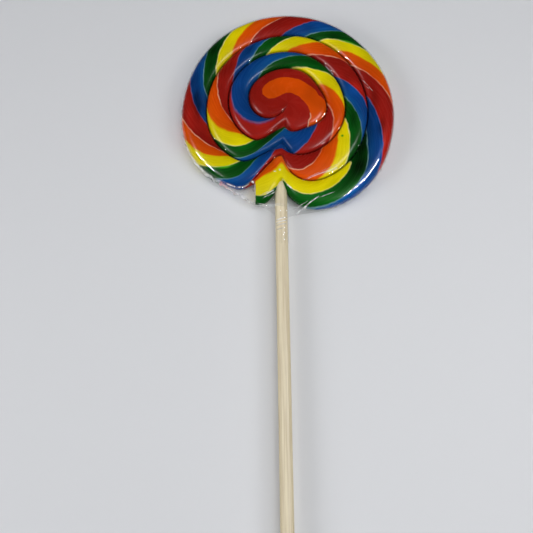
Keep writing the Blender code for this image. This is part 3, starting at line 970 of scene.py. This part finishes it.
# Small wrinkles round the rim: middle angle, half width and size of each stretch; and the
# waves that they are made of, as their count round the rim and their phase. They take up a
# small share of the rope's width, RIM_FIN.
RIM_WRINKLES = ((224.0, 26.0, 0.9), (150.0, 30.0, 0.7), (-50.0, 22.0, 0.4), (30.0, 50.0, 0.2))
RIM_WAVES = ((83, 0.0), (131, 1.0), (57, 2.0))
RIM_STAND_OFF = 0.8
RIM_WAVE_DEPTH = 0.4
RIM_FIN = 0.006

# The mouth round the stick: its first and last angle, how far its lips rise and drop, and
# the share of the rope's width over which the upper one runs out.
MOUTH_FIRST = -109.0
MOUTH_LAST = -77.0
MOUTH_RISE = 3.1
MOUTH_DROP = 3.3
MOUTH_LIP = 0.12

# The gathers from the mouth to the fold on the stick, and the sleeve from there to its end.
SLEEVE_RADIUS = 2.92
SLEEVE_FOLD = -55.5
SLEEVE_END = -68.0
SLEEVE_WAVINESS = 0.5
SLEEVE_LOOSENESS = 0.06
GATHER_ROWS = 14
GATHER_POWER = 1.8
PLEAT_DEPTH = 0.35
PLEAT_POWER = 0.7
PLEATS = 13.0
SLEEVE_ROWS = 44

# The flat back: how far in from the rim each ring lies, and the rings' heights.
BACK_FILM_INSETS = np.array((0.9, 2.6, 8.0, 16.0, 26.0, 38.0))
BACK_FILM_HEIGHT = 0.12
BACK_RIM_HEIGHT = 1.78

# How milky the web is, and how far that and the rim's flecks reach.
WEB_HAZE = 0.38
WEB_HAZE_FADE = 9.0
CRINKLE_REACH = 0.011
CRINKLE_FULL = 0.6


def fold_height(x, y):
    """Sum of the folds: each a ridge h * exp(-(d / w)^2) that dies away at its two ends."""
    total = 0.0 * x
    for (x0, y0), (x1, y1), height, half_width in FILM_FOLDS:
        length = np.hypot(x1 - x0, y1 - y0)
        along = ((x - x0) * (x1 - x0) + (y - y0) * (y1 - y0)) / length
        aside = ((y - y0) * (x1 - x0) - (x - x0) * (y1 - y0)) / length
        ends = smoothstep(along / FOLD_RUN_OUT + 0.5)
        ends = ends * smoothstep((length - along) / FOLD_RUN_OUT + 0.5)
        total = total + height * np.exp(-((aside / half_width) ** 2)) * ends
    return total


def rim_looseness(angle):
    """Size of the wrinkles round the rim: a bell curve over each of the listed stretches."""
    size = 0.0 * angle
    for middle, half_width, amount in RIM_WRINKLES:
        off = (angle - middle + TURN / 2) % TURN - TURN / 2
        size = size + amount * np.exp(-((off / half_width) ** 2))
    return size


def rim_wrinkle(angle):
    """Outward wrinkling of the rim: three mixed sine waves that stand out from the candy."""
    waves = sum(np.sin(np.radians(angle) * count + phase) for count, phase in RIM_WAVES)
    return rim_looseness(angle) * (RIM_STAND_OFF + RIM_WAVE_DEPTH * waves)


def film_rim(angle):
    """Radius of the bag's rim: the candy's and a gap, straight over the notch and the web."""
    outer = smooth_edge(angle) - FILM_NOTCH_SHARE * stick_dent(angle)
    inner = rope_edge(angle + TURN)
    share = smoothstep((angle - WEB_START) / (CUT_ANGLE + CUT_SLANT - WEB_START))
    return inner + (outer - inner) * share + FILM_GAP


def film_face(angle, across):
    """Points of the bag's face: over the crowns, part of the way into the creases, plus folds."""
    turned = slanted(angle, across)
    first_turn = angle < CUT_ANGLE + TURN - WEB_ROWS * COARSE_STEP
    outer = np.where(first_turn, film_rim(turned), rope_edge(turned))
    radius = outer * (1.0 - across) + rope_edge(turned + TURN) * across
    wrinkle = np.where(first_turn, rim_wrinkle(turned), 0.0)
    radius = radius + wrinkle * np.exp(-((across / RIM_FIN) ** 2))
    x = radius * np.cos(np.radians(turned))
    y = radius * np.sin(np.radians(turned))
    web = WEB_HEIGHT + FILM_GAP
    crown = CANDY_CROWN + FILM_GAP
    crown = web + (crown - web) * smoothstep((angle - CUT_ANGLE) / WEB_RISE + 1.0)
    edge = np.where(across < 0.5, angle, angle + TURN)
    crease = np.minimum(CREASE_HEIGHT + FILM_CREASE_LIFT + FILM_GAP, crown)
    low = crown + (crease - crown) * crease_share(edge)
    low = np.where(edge < CUT_ANGLE + TURN, web, low)
    low = np.where(edge < WEB_START + TURN + FINE_STEP / 2, RIM_HEIGHT, low)
    low = np.where((angle < CUT_ANGLE) & (across > 0.5), web, low)
    height = low + (crown - low) * dome(across, FILM_DOME_POWER)
    arch = np.where(y < 0.0, bulge_height(x, y, FILM_GAP), 0.0)
    arched = (across > 0.0) | (angle > CUT_ANGLE + TURN)
    height = np.where(arched, np.maximum(height, arch), height)
    mouth = np.clip((angle - MOUTH_FIRST) / (MOUTH_LAST - MOUTH_FIRST), 0.0, 1.0)
    lifted = RIM_HEIGHT + MOUTH_RISE * np.sqrt(np.sin(np.pi * mouth))
    rim_share = 1.0 - smoothstep(across / MOUTH_LIP)
    height = np.maximum(height, RIM_HEIGHT + (lifted - RIM_HEIGHT) * rim_share * first_turn)
    return np.stack((x, y, height + fold_height(x, y)), axis=-1)


def sleeve_ripple(turns, y, drop):
    """Ripples of the shrunk sleeve: three sine waves, of y and of the angle round the stick.

    The first runs round the stick and is strong only near the fold, the second winds round
    the sleeve, and the third runs along it.
    """
    bell = np.exp(-(((drop - 0.18) / 0.16) ** 2))
    round_it = 0.05 * np.sin(3.4 * y + 1.5 * np.cos(turns)) * bell
    winding = 0.06 * np.sin(2.1 * y + 3.0 * turns)
    along_it = 0.05 * np.sin(7.0 * turns + 0.4 * y)
    return round_it + winding + along_it


# The face, wound like the candy's; its first row is drawn together to the web's one corner.
film_crown = CANDY_CROWN + FILM_GAP
film_points, film_numbers, film_angles, _ = coil_surface(film_face, -WEB_ROWS, film_crown)
film_numbers[0] = film_numbers[ROWS_PER_TURN, 0]
face_part, _ = coil_triangles(film_numbers)

# The back: rings drawn in from the rim; round the stick its edge leaves the face's edge.
rim_numbers = film_numbers[:ROWS_PER_TURN, 0]
rim_angles = film_angles[:ROWS_PER_TURN]
rim_points = film_points[rim_numbers]
mouth_rows = np.flatnonzero((rim_angles >= MOUTH_FIRST) & (rim_angles <= MOUTH_LAST))
mouth_share = np.linspace(0.0, 1.0, len(mouth_rows))
under = rim_points[mouth_rows[1:-1]].copy()
under[:, 2] = RIM_HEIGHT - MOUTH_DROP * np.sqrt(np.sin(np.pi * mouth_share[1:-1]))
count = len(film_points)
back_rim = rim_numbers.copy()
back_rim[mouth_rows[1:-1]] = count + np.arange(len(under))
count += len(under)

inset = BACK_FILM_INSETS[:, None, None]
plan = rim_points[None, :, :2]
reach = np.linalg.norm(plan, axis=-1, keepdims=True)
ring_plan = plan * (1.0 - inset / reach)
outermost = inset == BACK_FILM_INSETS[0]
ring_height = np.where(outermost, BACK_RIM_HEIGHT, BACK_FILM_HEIGHT) + 0.0 * reach
rings = np.concatenate((ring_plan, ring_height), axis=-1).reshape(-1, 3)
ring_numbers = count + np.arange(len(rings)).reshape(len(BACK_FILM_INSETS), -1)
count += len(rings)
centre = np.array([[0.0, 0.0, BACK_FILM_HEIGHT]])
back_grid = np.vstack((back_rim, ring_numbers, np.full(ROWS_PER_TURN, count)))
back_grid = np.hstack((back_grid, back_grid[:, :1]))
count += 1
back_part, _ = grid_triangles(back_grid)

# The sleeve: from the mouth's lens-shaped edge down to a ring round the stick.
top_edge = rim_numbers[mouth_rows]
bottom_edge = back_rim[mouth_rows]
loop = np.concatenate((top_edge, bottom_edge[-2:0:-1]))
start = np.concatenate((film_points, under))[loop]
turns = np.pi * np.concatenate((1.0 - mouth_share, -mouth_share[1:-1]))
steps = np.linspace(0.0, 1.0, GATHER_ROWS + 1)[1:, None]
ring_x = STICK_X + SLEEVE_RADIUS * np.cos(turns)
ring_z = RIM_HEIGHT + SLEEVE_RADIUS * np.sin(turns)
pull = 1.0 - (1.0 - steps) ** GATHER_POWER
pleat = PLEAT_DEPTH * np.sin(np.pi * steps) ** PLEAT_POWER
pleat = pleat * np.sin(PLEATS * turns + 2.0 * steps)
gather_x = start[:, 0] + (ring_x - start[:, 0]) * pull
gather_y = start[:, 1] + (SLEEVE_FOLD - start[:, 1]) * steps
gather_z = start[:, 2] + (ring_z + pleat - start[:, 2]) * pull
gather = np.stack((gather_x, gather_y, gather_z), axis=-1)
drop = np.linspace(0.0, 1.0, SLEEVE_ROWS + 1)[1:, None]
sleeve_y = SLEEVE_FOLD + (SLEEVE_END - SLEEVE_FOLD) * drop
sleeve_y = sleeve_y + SLEEVE_WAVINESS * np.sin(2.0 * turns + 1.0) * drop
loose = SLEEVE_RADIUS + SLEEVE_LOOSENESS + np.abs(sleeve_ripple(turns, sleeve_y, drop))
sleeve_x = STICK_X + loose * np.cos(turns)
sleeve_z = RIM_HEIGHT + loose * np.sin(turns)
sleeve = np.stack((sleeve_x, sleeve_y, sleeve_z), axis=-1)
tube = np.concatenate((gather, sleeve)).reshape(-1, 3)
tube_grid = np.vstack((loop, count + np.arange(len(tube)).reshape(-1, len(loop))))
tube_grid = np.hstack((tube_grid, tube_grid[:, :1]))
tube_part, _ = grid_triangles(tube_grid)

# How milky the film is: the web beside the cut end, and the rim where it is bunched up, whose
# flecks are partly painted glints.
row_angle = film_angles[:, None]
web_share = np.exp(-(((row_angle - WEB_START) / WEB_HAZE_FADE) ** 2)) * (row_angle < CUT_ANGLE)
haze_grid = WEB_HAZE * web_share * (0.0 * across + 1.0)
crinkle_grid = np.minimum(rim_looseness(row_angle) / CRINKLE_FULL, 1.0)
crinkle_grid = crinkle_grid * np.exp(-((across / CRINKLE_REACH) ** 2))
crinkle_grid = crinkle_grid * (row_angle < CUT_ANGLE + TURN)
rest = count + len(tube) - len(film_points)
haze = np.concatenate(([0.0], haze_grid[:, :-1].ravel(), np.zeros(rest)))
crinkle = np.concatenate(([0.0], crinkle_grid[:, :-1].ravel(), np.zeros(rest)))

film = triangle_piece(
    "film_bag",
    np.concatenate((film_points, under, rings, centre, tube)),
    np.concatenate((face_part, back_part, tube_part)),
    film_material(),
    (("haze", haze), ("crinkle", crinkle)),
)
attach(film, "root")
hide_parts("wrapper")

# --------------------------------------------------------------------------- the studio
# A pale matt table top, on which the lollipop lies, strip lamps and soft lights to both
# sides, two wide soft lights above, and the camera.

FLOOR_HALF = 1.5
FLOOR_CORNERS = ((-1, -1), (1, -1), (1, 1), (-1, 1))
FLOOR_COLOR = (0.710, 0.721, 0.750, 1.0)
floor_mesh = bpy.data.meshes.new("floor")
floor_points = [(FLOOR_HALF * x, FLOOR_HALF * y, 0.0) for x, y in FLOOR_CORNERS]
floor_mesh.from_pydata(floor_points, [], [(0, 1, 2, 3)])
floor = into_scene("floor", floor_mesh)


top, _, shader = new_material("table_top")
shader.inputs["Base Color"].default_value = FLOOR_COLOR
shader.inputs["Roughness"].default_value = 0.7
shader.inputs["Specular IOR Level"].default_value = 0.2
floor_mesh.materials.append(top)


def lamp(name, place, size, power, mirrored):
    """A rectangular area light of the given width and height, facing the candy.

    A mirrored lamp is seen only in the gloss, the others only light what is matt.
    """
    light = bpy.data.lights.new(name, "AREA")
    light.shape = "RECTANGLE"
    light.size, light.size_y = size
    light.energy = power
    made = into_scene(name, light)
    made.location = place
    made.rotation_euler = (-Vector(place)).to_track_quat("-Z", "Y").to_euler()
    made.visible_glossy = mirrored
    made.visible_diffuse = not mirrored


lamp("right_strip", (0.70, -0.13, 0.91), (0.74, 0.06), 30.0, mirrored=True)
lamp("left_strip", (-0.92, -0.14, 0.95), (0.76, 0.05), 32.0, mirrored=True)
lamp("right_softbox", (0.97, -0.36, 0.72), (0.6, 0.4), 4.3, mirrored=False)
lamp("left_softbox", (-0.97, -0.33, 0.50), (0.6, 0.4), 5.4, mirrored=False)
lamp("overhead_softbox", (0.10, 0.0, 0.9), (0.8, 0.8), 1.7, mirrored=False)
lamp("low_overhead_lamp", (0.10, -0.15, 0.5), (0.5, 0.5), 1.2, mirrored=False)

ROOM_COLOR = (0.9, 0.95, 1.0, 1.0)
ROOM_STRENGTH = 0.02
world = bpy.data.worlds.new("studio")
bpy.context.scene.world = world
world.use_nodes = True
background = world.node_tree.nodes["Background"]
background.inputs["Color"].default_value = ROOM_COLOR
background.inputs["Strength"].default_value = ROOM_STRENGTH

CAMERA_PLACE = (-0.01159, -0.13885, 0.23055)
CAMERA_AIM = (-0.01095, -0.07707, 0.0)
SENSOR_WIDTH = 36.0
LENS = 36.0
camera_data = bpy.data.cameras.new("camera")
camera_data.sensor_width = SENSOR_WIDTH
camera_data.lens = LENS
camera = into_scene("camera", camera_data)
camera.location = CAMERA_PLACE
aim = Vector(CAMERA_AIM) - Vector(CAMERA_PLACE)
camera.rotation_euler = aim.to_track_quat("-Z", "Y").to_euler()
bpy.context.scene.camera = camera
bpy.context.scene.view_settings.view_transform = "Standard"
